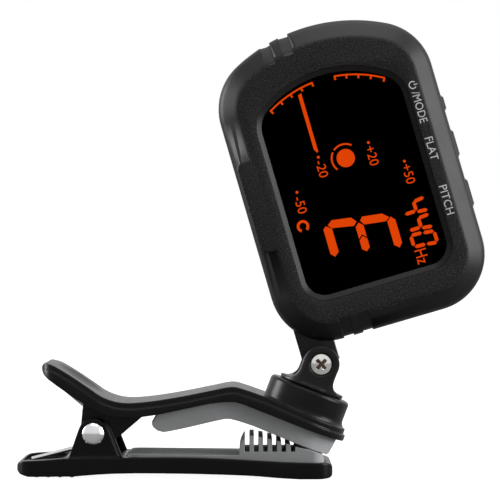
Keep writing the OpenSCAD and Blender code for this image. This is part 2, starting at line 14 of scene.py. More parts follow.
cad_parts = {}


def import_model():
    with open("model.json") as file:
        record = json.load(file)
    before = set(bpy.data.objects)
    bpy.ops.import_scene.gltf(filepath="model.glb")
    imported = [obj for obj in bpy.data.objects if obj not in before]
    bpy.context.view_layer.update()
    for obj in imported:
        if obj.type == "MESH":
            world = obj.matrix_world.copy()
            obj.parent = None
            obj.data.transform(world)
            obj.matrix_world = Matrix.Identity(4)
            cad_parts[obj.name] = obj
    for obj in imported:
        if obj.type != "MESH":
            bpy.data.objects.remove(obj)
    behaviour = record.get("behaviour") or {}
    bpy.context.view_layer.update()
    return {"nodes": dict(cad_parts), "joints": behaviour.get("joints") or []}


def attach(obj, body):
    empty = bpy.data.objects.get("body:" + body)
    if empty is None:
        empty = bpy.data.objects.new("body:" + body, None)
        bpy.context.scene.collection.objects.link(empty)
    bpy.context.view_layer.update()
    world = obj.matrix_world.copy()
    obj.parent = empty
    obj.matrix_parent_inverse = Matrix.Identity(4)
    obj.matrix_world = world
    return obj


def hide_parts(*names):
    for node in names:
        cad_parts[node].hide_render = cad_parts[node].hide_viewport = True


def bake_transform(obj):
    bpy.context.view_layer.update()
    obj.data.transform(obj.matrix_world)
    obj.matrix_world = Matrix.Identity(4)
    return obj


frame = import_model()

MM = 0.001
JOINTS = {joint["name"]: joint for joint in frame["joints"]}

# ---- Places worked out from the frame ----
PIVOT = Vector(JOINTS["jaw_hinge"]["pos_m"]) / MM
TILT = Vector(JOINTS["tilt"]["pos_m"]) / MM
HEAD_U = -Vector(JOINTS["mode_button_press"]["axis"])
HEAD_W = Vector((-HEAD_U.z, 0, HEAD_U.x))
BATTERY_DROP = 1.0  # the battery cover's middle is this far under the display's middle
HEAD_MIDDLE = Vector(JOINTS["battery_cover_turn"]["pos_m"]) / MM + HEAD_W * BATTERY_DROP
HEAD = Matrix(
    (
        (HEAD_U.x, 0, HEAD_W.x, HEAD_MIDDLE.x),
        (0, 1, 0, 0),
        (HEAD_U.z, 0, HEAD_W.z, HEAD_MIDDLE.z),
        (0, 0, 0, 1),
    )
)
CLIP = Matrix.Identity(4)


def in_head_box(node):
    """A CAD node's lowest and highest corners in the head's frame."""
    back = HEAD.inverted()
    spots = [back @ (v.co / MM) for v in frame["nodes"][node].data.vertices]
    low = Vector([min(p[i] for p in spots) for i in range(3)])
    high = Vector([max(p[i] for p in spots) for i in range(3)])
    return low, high


bezel_low, bezel_high = in_head_box("front_bezel")
lens_low, lens_high = in_head_box("display_lens")
HEAD_HALF = (bezel_high.x - bezel_low.x) / 2
HEAD_TOP = bezel_high.z
HEAD_BOTTOM = -bezel_low.z
FACE_Y = bezel_low.y
SPLIT_Y = bezel_high.y
LENS_Y = lens_low.y
WINDOW_HALF = (lens_high.x - lens_low.x) / 2
WINDOW_TOP = lens_high.z
WINDOW_BOTTOM = -lens_low.z

# Outlines: half width, top, bottom, arch radius, top and bottom corner radii
HEAD_SHAPE = (HEAD_HALF, HEAD_TOP, HEAD_BOTTOM, 32.5, 11, 10.75)
WINDOW_SHAPE = (WINDOW_HALF, WINDOW_TOP, WINDOW_BOTTOM, 21.6, 6, 4.8)


# ---- Materials ----
SHELL_DARK = (0.007, 0.007, 0.0072)
GLINT_FLECK = (0.075, 0.075, 0.076)  # painted glints: lighter specks where the textured face would catch the light
# painted shade, tinted brown, for the screw's cross recess
RECESS_SHADE_BROWN = (0.16, 0.11, 0.08)


def shader(name):
    material = bpy.data.materials.new(name)
    material.use_nodes = True
    return material, material.node_tree.nodes, material.node_tree.links


def add_grain(material, scale, height, detail=2.0, distance=0.0001):
    """Adds a fine moulded grain as bump."""
    nodes, links = material.node_tree.nodes, material.node_tree.links
    place = nodes.new("ShaderNodeTexCoord")
    noise = nodes.new("ShaderNodeTexNoise")
    noise.inputs["Scale"].default_value = scale
    noise.inputs["Detail"].default_value = detail
    bump = nodes.new("ShaderNodeBump")
    bump.inputs["Strength"].default_value = height
    bump.inputs["Distance"].default_value = distance
    links.new(place.outputs["Object"], noise.inputs["Vector"])
    links.new(noise.outputs["Fac"], bump.inputs["Height"])
    links.new(bump.outputs["Normal"], nodes["Principled BSDF"].inputs["Normal"])
    return noise


def solid(name, colour, roughness, metallic=0.0, grain=(1500, 0.05), spread=0.12, specular=0.5):
    """A plain finish with a fine grain, and a colour and gloss that wander slightly."""
    material, nodes, links = shader(name)
    surface = nodes["Principled BSDF"]
    surface.inputs["Metallic"].default_value = metallic
    surface.inputs["Specular IOR Level"].default_value = specular
    add_grain(material, grain[0], grain[1])
    place = nodes.new("ShaderNodeTexCoord")
    cloud = nodes.new("ShaderNodeTexNoise")
    cloud.inputs["Scale"].default_value = 220
    cloud.inputs["Detail"].default_value = 4
    links.new(place.outputs["Object"], cloud.inputs["Vector"])
    shade = nodes.new("ShaderNodeMapRange")
    shade.inputs["To Min"].default_value = roughness * (1 - spread)
    shade.inputs["To Max"].default_value = roughness * (1 + spread)
    links.new(cloud.outputs["Fac"], shade.inputs["Value"])
    links.new(shade.outputs["Result"], surface.inputs["Roughness"])
    ramp = nodes.new("ShaderNodeValToRGB")
    ramp.color_ramp.elements[0].position = 0.3
    ramp.color_ramp.elements[1].position = 0.7
    ramp.color_ramp.elements[0].color = [c * (1 - spread) for c in colour] + [1]
    ramp.color_ramp.elements[1].color = [min(1, c * (1 + spread)) for c in colour] + [1]
    links.new(cloud.outputs["Fac"], ramp.inputs["Fac"])
    links.new(ramp.outputs["Color"], surface.inputs["Base Color"])
    return material


def tinted(material, amount, colour):
    """Mixes a second colour into a finish, as far as the socket amount says."""
    nodes, links = material.node_tree.nodes, material.node_tree.links
    surface = nodes["Principled BSDF"]
    tint = nodes.new("ShaderNodeMix")
    tint.data_type = "RGBA"
    tint.inputs["B"].default_value = (*colour, 1)
    plain = surface.inputs["Base Color"].links[0].from_socket
    links.new(amount, tint.inputs["Factor"])
    links.new(plain, tint.inputs["A"])
    links.new(tint.outputs["Result"], surface.inputs["Base Color"])


def depth_ramp(material, start, end, low=0.0):
    """A factor that runs from low to 1 between two depths along Y, in metres."""
    nodes, links = material.node_tree.nodes, material.node_tree.links
    place = nodes.new("ShaderNodeTexCoord")
    parts = nodes.new("ShaderNodeSeparateXYZ")
    ramp = nodes.new("ShaderNodeMapRange")
    ramp.inputs["From Min"].default_value = start
    ramp.inputs["From Max"].default_value = end
    ramp.inputs["To Min"].default_value = low
    links.new(place.outputs["Object"], parts.inputs["Vector"])
    links.new(parts.outputs["Y"], ramp.inputs["Value"])
    return ramp.outputs["Result"]


def spark_plastic():
    """Charcoal plastic: the flat face is spark-textured with painted glints in lighter specks,
    and the bevels and sides are satin.
    """
    material = solid("shell_charcoal", SHELL_DARK, 0.42, grain=(5200, 1.0), specular=0.24)
    nodes, links = material.node_tree.nodes, material.node_tree.links
    face = depth_ramp(material, (FACE_Y + 0.25) * MM, (FACE_Y + 0.05) * MM, 0.1)
    links.new(face, nodes["Bump"].inputs["Strength"])
    place = nodes.new("ShaderNodeTexCoord")
    # painted glints: a noise picks lighter specks, on the flat face only
    glint_noise = nodes.new("ShaderNodeTexNoise")
    glint_noise.inputs["Scale"].default_value = 4200
    glint_noise.inputs["Detail"].default_value = 3
    strong = nodes.new("ShaderNodeMapRange")
    strong.inputs["From Min"].default_value = 0.52
    strong.inputs["From Max"].default_value = 0.75
    amount = nodes.new("ShaderNodeMath")
    amount.operation = "MULTIPLY"
    links.new(place.outputs["Object"], glint_noise.inputs["Vector"])
    links.new(glint_noise.outputs["Fac"], strong.inputs["Value"])
    links.new(strong.outputs["Result"], amount.inputs[0])
    links.new(face, amount.inputs[1])
    tinted(material, amount.outputs["Value"], GLINT_FLECK)
    return material


def screw_metal():
    """Nickel plate, with painted shade, tinted brown, down in the cross recess."""
    material = solid("screw_bright", (0.92, 0.9, 0.87), 0.18, 1.0, (1500, 0.03))
    front = min(v.co.y for v in frame["nodes"]["tilt_screw"].data.vertices)
    # painted shade: darker and browner the further into the cross recess
    recess_shade = depth_ramp(material, front + 0.28 * MM, front + 0.6 * MM)
    tinted(material, recess_shade, RECESS_SHADE_BROWN)
    return material


def glowing(name, colour, strength):
    """A lit figure of the display; colour is what the eye sees of it."""
    material = solid(name, [0.1 * c for c in colour], 0.5, specular=0.05)
    surface = material.node_tree.nodes["Principled BSDF"]
    surface.inputs["Emission Color"].default_value = (*colour, 1)
    surface.inputs["Emission Strength"].default_value = strength
    return material


SHELL = spark_plastic()
CLIP_BLACK = solid("clip_black", (0.003, 0.003, 0.0032), 0.25, grain=(900, 0.02), specular=0.16)
JAW_BLACK = solid("jaw_black", (0.007, 0.007, 0.0073), 0.27, grain=(900, 0.02), specular=0.16)
FORK_BLACK = solid("fork_black", (0.008, 0.008, 0.0082), 0.33, grain=(1100, 0.03), specular=0.25)
PAD_GREY = solid(
    "pad_grey", (0.37, 0.376, 0.382), 0.7, grain=(2600, 0.16), spread=0.06, specular=0.2
)
RIVET_CHROME = solid("rivet_chrome", (0.88, 0.88, 0.9), 0.2, 1.0, (400, 0.01), 0.08)
SPRING_WIRE = solid("spring_wire", (0.8, 0.8, 0.82), 0.25, 1.0, (1200, 0.02))
NICKEL = solid("screw_nickel", (0.78, 0.76, 0.72), 0.22, 1.0, (1500, 0.03))
SCREW_METAL = screw_metal()
WINDOW_BLACK = solid(
    "window_black", (0.0002, 0.0002, 0.0002), 0.1, grain=(300, 0.003), specular=0.0
)
DISPLAY_ORANGE = glowing("display_orange", (0.68, 0.05, 0.0), 1.0)
PRINT_WHITE = solid("print_grey", (0.72, 0.72, 0.72), 0.5)
BUTTON_BLACK = solid(
    "button_black", (0.012, 0.012, 0.0125), 0.45, grain=(2400, 0.12), specular=0.3
)
PANEL = solid("panel_glass", (0.02, 0.022, 0.025), 0.15)
GUIDE = solid("guide_white", (0.85, 0.85, 0.82), 0.4)
ZEBRA = solid("strip_pink", (0.7, 0.25, 0.3), 0.6)
BOARD = solid("board_green", (0.01, 0.09, 0.035), 0.35, grain=(2000, 0.1))
RESIN = solid("chip_resin", (0.015, 0.015, 0.016), 0.55, grain=(3000, 0.2))
CAN = solid("can_steel", (0.62, 0.62, 0.64), 0.3, 1.0)
BRASS = solid("piezo_brass", (0.7, 0.5, 0.2), 0.3, 1.0)
CONTACT = solid("contact_gold", (0.75, 0.62, 0.38), 0.3, 1.0)
OXIDE = solid("screw_oxide", (0.05, 0.05, 0.052), 0.4, 0.6, (1500, 0.1))


# ---- Making and finishing pieces ----
def smooth(mesh, angle=32):
    mesh.shade_smooth()
    mesh.set_sharp_from_angle(angle=math.radians(angle))


def bring_in(name, mesh, body, slot, material, *stands_for):
    """Puts a finished mesh into the scene, on its body."""
    mesh.materials.clear()
    mesh.materials.append(material)
    piece = bpy.data.objects.new(name, mesh)
    bpy.context.scene.collection.objects.link(piece)
    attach(piece, body)
    if stands_for:
        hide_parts(*stands_for)
    return piece


def clean(mesh, merge=1e-6, flat=0.3):
    """Joins doubled points and turns flat fans of triangles into whole faces."""
    work = bmesh.new()
    work.from_mesh(mesh)
    bmesh.ops.remove_doubles(work, verts=work.verts, dist=merge)
    bmesh.ops.dissolve_limit(
        work, angle_limit=math.radians(flat), verts=work.verts, edges=work.edges
    )
    work.to_mesh(mesh)
    work.free()


def applied(mesh, set_up):
    """The mesh after a modifier that set_up adds to a passing object."""
    carrier = bpy.data.objects.new("carrier", mesh)
    bpy.context.scene.collection.objects.link(carrier)
    set_up(carrier)
    graph = bpy.context.evaluated_depsgraph_get()
    result = bpy.data.meshes.new_from_object(carrier.evaluated_get(graph))
    bpy.data.objects.remove(carrier)
    return result


def bevelled(mesh, width, segments=2, angle=30):
    """The mesh with edges sharper than angle rounded off; flat faces keep their normals."""

    def set_up(carrier):
        bevel = carrier.modifiers.new("edges", "BEVEL")
        bevel.width = width * MM
        bevel.segments = segments
        bevel.limit_method = "ANGLE"
        bevel.angle_limit = math.radians(angle)
        bevel.use_clamp_overlap = False
        bevel.harden_normals = True
        bevel.miter_outer = "MITER_ARC"

    return applied(mesh, set_up)


def combined(mesh, tool, operation):
    """Boolean of two closed meshes in the same frame."""
    other = bpy.data.objects.new("tool", tool)
    bpy.context.scene.collection.objects.link(other)

    def set_up(carrier):
        change = carrier.modifiers.new("cut", "BOOLEAN")
        change.operation = operation
        change.solver = "EXACT"
        change.object = other

    result = applied(mesh, set_up)
    bpy.data.objects.remove(other)
    return result


def mesh_of(name, points, faces, place=CLIP):
    mesh = bpy.data.meshes.new(name)
    mesh.from_pydata([(place @ Vector(p)) * MM for p in points], [], faces)
    work = bmesh.new()
    work.from_mesh(mesh)
    bmesh.ops.recalc_face_normals(work, faces=work.faces)
    work.to_mesh(mesh)
    work.free()
    return mesh


def joined(name, meshes):
    """One mesh out of several."""
    work = bmesh.new()
    for mesh in meshes:
        work.from_mesh(mesh)
    whole = bpy.data.meshes.new(name)
    work.to_mesh(whole)
    work.free()
    return whole


def slab(name, outline, front, back, place=CLIP):
    """A flat outline of (u, w) points made into a plate from y = front to y = back."""
    count = len(outline)
    points = [(u, front, w) for u, w in outline] + [(u, back, w) for u, w in outline]
    faces = [list(range(count)), list(range(2 * count - 1, count - 1, -1))]
    for i in range(count):
        j = (i + 1) % count
        faces.append([i, i + count, j + count, j])
    return mesh_of(name, points, faces, place)


def arc(at, radius, start, end, count):
    turns = [math.radians(start + (end - start) * i / count) for i in range(count + 1)]
    return [(at[0] + radius * math.cos(t), at[1] + radius * math.sin(t)) for t in turns]


def rounded(u, w, radius, count=6):
    """Outline of a rectangle with round corners."""
    corners = ((u[1], w[0], -90), (u[1], w[1], 0), (u[0], w[1], 90), (u[0], w[0], 180))
    outline = []
    for x, z, start in corners:
        at = (
            x - radius if x == u[1] else x + radius,
            z - radius if z == w[1] else z + radius,
        )
        outline += arc(at, radius, start, start + 90, count)
    return outline


def run(start, end, count):
    """Points between two others, without either of them."""
    return [
        (
            start[0] + (end[0] - start[0]) * i / count,
            start[1] + (end[1] - start[1]) * i / count,
        )
        for i in range(1, count)
    ]


def arched(shape, inset):
    """Outline with an arched top, the same points for every inset and shape."""
    half, top, bottom, arch_r, top_r, low_r = shape
    low = (half - low_r, low_r - bottom)
    arch = (0, top - arch_r)
    corner_u = half - top_r
    rise = math.sqrt((arch_r - top_r) ** 2 - corner_u**2)
    corner = (corner_u, arch[1] + rise)
    spread = math.degrees(math.atan2(corner_u, rise))
    low_right = arc(low, low_r - inset, -90, 0, 20)
    top_right = arc(corner, top_r - inset, 0, 90 - spread, 16)
    crown = arc(arch, arch_r - inset, 90 - spread, 90 + spread, 36)[1:-1]
    top_left = [(-u, w) for u, w in reversed(top_right)]
    low_left = [(-u, w) for u, w in reversed(low_right)]
    return (
        low_right
        + run(low_right[-1], top_right[0], 12)
        + top_right
        + crown
        + top_left
        + run(top_left[-1], low_left[0], 12)
        + low_left
        + run(low_left[-1], low_right[0], 10)
    )


def loft(name, rings, place, closed):
    """Skin over rings of equally many points; closed joins the last ring to the first."""
    count = len(rings[0])
    points = [p for ring in rings for p in ring]
    faces = []
    steps = len(rings) if closed else len(rings) - 1
    for i in range(steps):
        j = (i + 1) % len(rings)
        for k in range(count):
            m = (k + 1) % count
            faces.append([i * count + k, i * count + m, j * count + m, j * count + k])
    if not closed:
        faces.append(list(range(count)))
        faces.append(list(range(len(points) - 1, len(points) - count - 1, -1)))
    return mesh_of(name, points, faces, place)


# ---- Front bezel ----
WALL = 1.5
LEDGE = 1.0  # width of the sloping ring inside the window
NOTCHES = (-8.6, -4.85)
NOTCH_HALF = 1.0
NECK_SHIFT = 0.25  # the neck runs up a little to the right of the tilt axis
NECK_SLOT_HALF = 3.5
KEY_FLANGE = 0.6  # the buttons' hidden flanges stand out this far past their caps
KEY_STEP = 0.5
KEY_GAP = 0.15
# Raised land beside the window: its span across and up the head, and its corner radius
LAND_U, LAND_W, LAND_R = (-20.2, -15.5), (-9.4, 8.2), 1.3
# Rim from the split forward, as (inset, y): the rolled side, the flat bevel and the face
RIM = (
    (0, SPLIT_Y),
    (0, -0.6),
    (0, -1.6),
    (0.03, -2.15),
    (0.13, -2.65),
    (0.28, -3.05),
    (0.48, -3.4),
    (0.7, -3.7),
    (0.98, -3.97),
    (1.8, -4.66),
    (2.6, -5.35),
    (3.25, -5.9),
    (3.5, -6.07),
    (3.8, -6.17),
    (4.1, FACE_Y),
)
# From the face into the window, as (inset from the window's outline, y)
WINDOW_RIM = (
    (-0.5, FACE_Y),
    (-0.12, FACE_Y),
    (-0.04, FACE_Y + 0.03),
    (0, FACE_Y + 0.12),
    (0.05, FACE_Y + 0.3),
    (0.12, FACE_Y + 0.36),
    (LEDGE - 0.06, LENS_Y - 0.3),
    (LEDGE, LENS_Y - 0.24),
    (LEDGE, LENS_Y),
)
CAVITY = ((3.6, LENS_Y), (3.6, -3.0), (WALL, -3.0), (WALL, SPLIT_Y))


def arch_height(u, inset=0):
    return HEAD_TOP - HEAD_SHAPE[3] + math.sqrt((HEAD_SHAPE[3] - inset) ** 2 - u * u)


def front_bezel():
    outlines = [(HEAD_SHAPE, inset, y) for inset, y in RIM]
    outlines += [(WINDOW_SHAPE, inset, y) for inset, y in WINDOW_RIM]
    outlines += [(HEAD_SHAPE, inset, y) for inset, y in CAVITY]
    rings = [[(u, y, w) for u, w in arched(shape, inset)] for shape, inset, y in outlines]
    mesh = loft("front_bezel_moulding", rings, HEAD, True)
    land = slab("land", rounded(LAND_U, LAND_W, LAND_R), FACE_Y + 0.005, -1.4, HEAD)
    mesh = combined(mesh, bevelled(land, 0.35, 3, 60), "UNION")
    for u in NOTCHES:
        for top in (True, False):
            mesh = combined(mesh, notch(u, top), "DIFFERENCE")
    neck_u = (HEAD.inverted() @ TILT).x + NECK_SHIFT
    outline = rounded((neck_u - NECK_SLOT_HALF, neck_u + NECK_SLOT_HALF), (-36, -25), 0.3)
    slot = slab("neck_slot", outline, -2.25, 4, HEAD)
    mesh = combined(mesh, slot, "DIFFERENCE")
    for node in ("mode_button", "flat_button", "pitch_button"):
        low, high = in_head_box(node)
        across = (HEAD_HALF - 2.2, HEAD_HALF + 1)
        along = (low.z + KEY_FLANGE - KEY_GAP, high.z - KEY_FLANGE + KEY_GAP)
        outline = rounded(across, along, 0.2)
        hole = slab("key_slot", outline, low.y + KEY_STEP - KEY_GAP, 3, HEAD)
        mesh = combined(mesh, hole, "DIFFERENCE")
    clean(mesh, 2e-6, 0.05)
    smooth(mesh, 28)
    bring_in("bezel", mesh, "head", "shell_plastic", SHELL, "front_bezel")


def notch(u, top):
    """A groove over the edge that runs on down the bevel with a rounded bottom."""
    sign = 1 if top else -1
    edge = arch_height(u) if top else HEAD_BOTTOM
    depth = 0.42 if top else 0.3
    # The groove's floor follows the rim, a little under it
    floor = [(SPLIT_Y + 1, edge - depth)]
    floor += [(y, edge - inset - depth) for inset, y in RIM[2:12]]
    last_y, last_w = floor[-1]
    floor += [(last_y - 0.25, last_w - 0.5), (FACE_Y - 1.5, last_w - 0.9)]
    outer = [(FACE_Y - 1.5, edge + 4), (SPLIT_Y + 1, edge + 4)]
    side = floor + outer
    count = len(side)
    points = [(u - NOTCH_HALF, y, sign * w) for y, w in side]
    points += [(u + NOTCH_HALF, y, sign * w) for y, w in side]
    faces = [list(range(count)), list(range(2 * count - 1, count - 1, -1))]
    faces += [
        [i, (i + 1) % count, (i + 1) % count + count, i + count] for i in range(count)
    ]
    return mesh_of("notch", points, faces, HEAD)


# ---- Display ----
GLOW_FRONT = LENS_Y - 0.03
GLOW_BACK = LENS_Y + 0.02
DISPLAY_SHIFT = Vector((-0.27, -0.09))  # the lit figures sit slightly off the window's middle
LABEL_SHIFT = Vector((-0.32, -0.11))


def band(at, radius, thick, start, end, count=24):
    """Outline of a stretch of ring."""
    outer = arc(at, radius + thick / 2, start, end, count)
    inner = arc(at, radius - thick / 2, end, start, count)
    return outer + inner


def bar(start, end, thick):
    """Outline of a straight stroke."""
    a, b = Vector(start), Vector(end)
    side = (b - a).orthogonal().normalized() * thick / 2
    return [tuple(a + side), tuple(b + side), tuple(b - side), tuple(a - side)]


def shifted(outline, shift):
    return [(u + shift.x, w + shift.y) for u, w in outline]


def lettering(text, middle, length, height, shift, front, back):
    """Words that read down the head: letters lie on their right sides, tops towards +u."""
    curve = bpy.data.curves.new("letters", "FONT")
    curve.body = text
    curve.extrude = 0.5
    curve.resolution_u = 4
    carrier = bpy.data.objects.new("letters", curve)
    bpy.context.scene.collection.objects.link(carrier)
    bpy.context.view_layer.update()
    graph = bpy.context.evaluated_depsgraph_get()
    mesh = bpy.data.meshes.new_from_object(carrier.evaluated_get(graph))
    bpy.data.objects.remove(carrier)
    low = Vector([min(v.co[i] for v in mesh.vertices) for i in range(3)])
    high = Vector([max(v.co[i] for v in mesh.vertices) for i in range(3)])
    for v in mesh.vertices:
        along = ((v.co.x - low.x) / (high.x - low.x) - 0.5) * length
        up = ((v.co.y - low.y) / (high.y - low.y) - 0.5) * height
        y = front if v.co.z > 0 else back
        spot = Vector((middle[0] + up + shift.x, y, middle[1] - along + shift.y))
        v.co = (HEAD @ spot) * MM
    work = bmesh.new()
    work.from_mesh(mesh)
    bmesh.ops.remove_doubles(work, verts=work.verts, dist=1e-8)
    bmesh.ops.recalc_face_normals(work, faces=work.faces)
    work.to_mesh(mesh)
    work.free()
    return mesh


def glow(outline):
    return slab("glow", shifted(outline, DISPLAY_SHIFT), GLOW_FRONT, GLOW_BACK, HEAD)


def glow_text(text, middle, length, height):
    return lettering(text, middle, length, height, DISPLAY_SHIFT, GLOW_FRONT, GLOW_BACK)


def disc(at, radius, count=32):
    return arc(at, radius, 0, 360 - 360 / count, count - 1)


def scale_marks():
    """The two stretches of the cents scale, with their ticks, and the needle."""
    middle, radius = (0.35, -2.75), 21.9
    ticks = ((-10.75, -8.5, -6.35, -4.1, -1.85), (2.6, 4.8, 7.0, 9.2, 11.5))
    shapes = []
    for side in ticks:
        turns = [math.degrees(math.acos((u - middle[0]) / radius)) for u in side]
        shapes.append(glow(band(middle, radius, 0.32, turns[-1] - 0.4, turns[0] + 0.4)))
        for turn in turns:
            out = Vector((math.cos(math.radians(turn)), math.sin(math.radians(turn))))
            root = Vector(middle) + out * (radius - 0.1)
            shapes.append(glow(bar(root, root - out * 0.6, 0.36)))
    shapes.append(glow([(-5.0, 17.5), (-4.32, 17.75), (-4.32, 6.3), (-4.6, 6.2), (-5.0, 6.9)]))
    return joined("scale", shapes)


def in_tune_mark():
    """The disc in the middle with two arcs round it, and the four scale dots."""
    middle = (0.3, 3.7)
    shapes = [glow(disc(middle, 1.72))]
    shapes += [glow(band(middle, 2.65, 0.32, *span)) for span in ((50, 130), (140, 218))]
    for at in ((-4.6, 5.3), (5.2, 5.3), (10.7, 0.05), (-10.3, 0.1)):
        shapes.append(glow(disc(at, 0.27, 16)))
    return joined("in_tune", shapes)


def numbers():
    height = 1.75
    rows = (
        ("-20", (-4.55, 3.0), 3.2),
        ("+20", (5.2, 2.75), 3.7),
        ("+50", (10.8, -2.45), 3.7),
        ("-50", (-10.3, -2.4), 3.2),
    )
    shapes = [glow_text(text, middle, length, height) for text, middle, length in rows]
    shapes.append(glow(band((-11.0, -6.35), 0.93, 0.5, -58, 238)))
    shapes.append(glow_text("Hz", (8.85, -18.0), 2.7, 2.2))
    return joined("numbers", shapes)


def note_letter():
    """The large segmented letter."""
    strokes = (
        (
            (-5.54, -6.75), (-1.9, -7.3), (-1.1, -8.3),
            (-1.8, -8.95), (-5.9, -8.2), (-6.5, -7.5),
        ),
        (
            (0.1, -7.7), (3.9, -8.2), (5.0, -9.2),
            (4.25, -9.8), (0.15, -9.25), (-0.4, -8.4),
        ),
        (
            (-6.9, -7.55), (-7.5, -8.0), (-7.5, -12.8),
            (-6.8, -13.5), (-5.9, -12.8), (-5.9, -8.3),
        ),
        (
            (-0.8, -8.6), (-1.55, -9.3), (-1.55, -11.6),
            (-0.8, -10.9), (-0.05, -11.6), (-0.05, -9.3),
        ),
        (
            (-0.8, -11.2), (-1.55, -11.9), (-1.55, -13.6),
            (-0.8, -14.2), (-0.05, -13.6), (-0.05, -11.9),
        ),
        (
            (5.3, -9.2), (4.45, -9.9), (4.45, -14.5),
            (5.3, -15.25), (6.0, -14.5), (6.0, -10.0),
        ),
    )
    return joined("note", [glow(stroke) for stroke in strokes])


def segment(start, end, thick=0.68):
    """Outline of a segment of a small figure: a bar with pointed ends."""
    a, b = Vector(start), Vector(end)
    along = (b - a).normalized() * thick / 2
    side = along.orthogonal()
    spots = (a, a + along + side, b - along + side, b, b - along - side, a + along - side)
    return [tuple(spot) for spot in spots]


def pitch_number():
    """The small number in seven-segment figures, on its side."""
    strokes = (
        ((10.25, -7.75), (12.3, -7.45)),
        ((10.2, -7.65), (10.25, -9.5)),
        ((8.0, -9.6), (10.1, -9.5)),
        ((10.3, -9.75), (12.35, -9.85)),
        ((10.25, -10.95), (12.3, -10.75)),
        ((10.2, -10.85), (10.25, -12.75)),
        ((8.0, -12.75), (10.1, -12.7)),
        ((10.3, -12.9), (12.35, -13.1)),
        ((8.0, -13.7), (10.1, -13.75)),
        ((10.3, -13.85), (12.35, -14.05)),
        ((7.9, -13.8), (7.95, -15.8)),
        ((12.35, -14.2), (12.4, -16.2)),
        ((8.05, -15.95), (10.15, -16.0)),
        ((10.35, -16.05), (12.3, -16.3)),
    )
    return joined("pitch_number", [glow(segment(a, b)) for a, b in strokes])


def display():
    figures = (
        ("scale_and_needle", scale_marks),
        ("in_tune_disc", in_tune_mark),
        ("display_numbers", numbers),
        ("note_name", note_letter),
        ("pitch_figures", pitch_number),
    )
    for name, make in figures:
        bring_in(name, make(), "head", "lens_plastic", DISPLAY_ORANGE)


def labels():
    """Words printed beside the buttons, and the power sign."""
    front, back = FACE_Y - 0.012, FACE_Y + 0.02
    line_u, letter_height = 16.25, 1.5
    sign_u, sign_w, sign_line = 16.15, 13.3, 0.2
    shapes = []
    rows = (("/MODE", 9.0, 6.0), ("FLAT", 0.9, 4.4), ("PITCH", -9.1, 5.6))
    for text, middle, length in rows:
        at = (line_u, middle)
        shapes.append(lettering(text, at, length, letter_height, LABEL_SHIFT, front, back))
    ring = band((sign_u, sign_w), 0.66, sign_line, 40, 320)
    stroke = bar((sign_u + 0.2, sign_w), (sign_u + 0.9, sign_w), sign_line)
    for outline in (ring, stroke):
        shapes.append(slab("sign", shifted(outline, LABEL_SHIFT), front, back, HEAD))
    mesh = joined("button_labels", shapes)
    bring_in("button_labels", mesh, "head", "shell_plastic", PRINT_WHITE)


# ---- Pieces whose CAD shape is kept, with eased edges ----
MOULD_VOXEL = 0.12
MOULD_KEPT = 0.14  # share of the fine mesh's triangles that stays


def moulded(node, body, slot, material, rounds=6):
    """A CAD node with every edge softened, as an injection-moulded piece has them."""

    def set_up(carrier):
        fine = carrier.modifiers.new("fine", "REMESH")
        fine.mode = "VOXEL"
        fine.voxel_size = MOULD_VOXEL * MM
        relax = carrier.modifiers.new("relax", "SMOOTH")
        relax.factor = 0.5
        relax.iterations = rounds
        thin = carrier.modifiers.new("thin", "DECIMATE")
        thin.ratio = MOULD_KEPT

    mesh = applied(frame["nodes"][node].data.copy(), set_up)
    smooth(mesh, 50)
    return bring_in(node + "_moulded", mesh, body, slot, material, node)


def eased(node, body, slot, material, width, segments=2, angle=30):
    """A CAD node with its sharp edges rounded off."""
    mesh = frame["nodes"][node].data.copy()
    clean(mesh)
    smooth(mesh, angle)
    mesh = bevelled(mesh, width, segments, angle)
    return bring_in(node + "_eased", mesh, body, slot, material, node)


def spring():
    """The torsion spring: a straight leg, a coil round the hinge pin, and a second leg."""
    wire, coil, half = 0.45, 2.05, 2.3
    low_turn, high_turn = -75.4, 50.5 + 4 * 360
    low_leg, high_leg = 12.9, 12.0
    count, sides = 220, 14
    rings = []

    def ring(turn, along):
        t = math.radians(turn)
        out = Vector((math.cos(t), 0, math.sin(t)))
        ahead = Vector((-math.sin(t), 0, math.cos(t)))
        y = -half + 2 * half * (turn - low_turn) / (high_turn - low_turn)
        middle = PIVOT + out * coil + ahead * along + Vector((0, y, 0))
        turns = [2 * math.pi * k / sides for k in range(sides)]
        return [middle + (out * math.cos(q) + Vector((0, math.sin(q), 0))) * wire for q in turns]

    for i in range(6):
        rings.append(ring(low_turn, -low_leg * (1 - i / 6)))
    for i in range(count + 1):
        rings.append(ring(low_turn + (high_turn - low_turn) * i / count, 0))
    for i in range(1, 7):
        rings.append(ring(high_turn, high_leg * i / 6))
    mesh = loft("torsion_spring_wire", rings, CLIP, False)
    smooth(mesh, 50)
    mesh.materials.append(SPRING_WIRE)
    piece = bpy.data.objects.new("torsion_spring_wire", mesh)
    bpy.context.scene.collection.objects.link(piece)
    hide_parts("torsion_spring")
    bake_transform(piece)


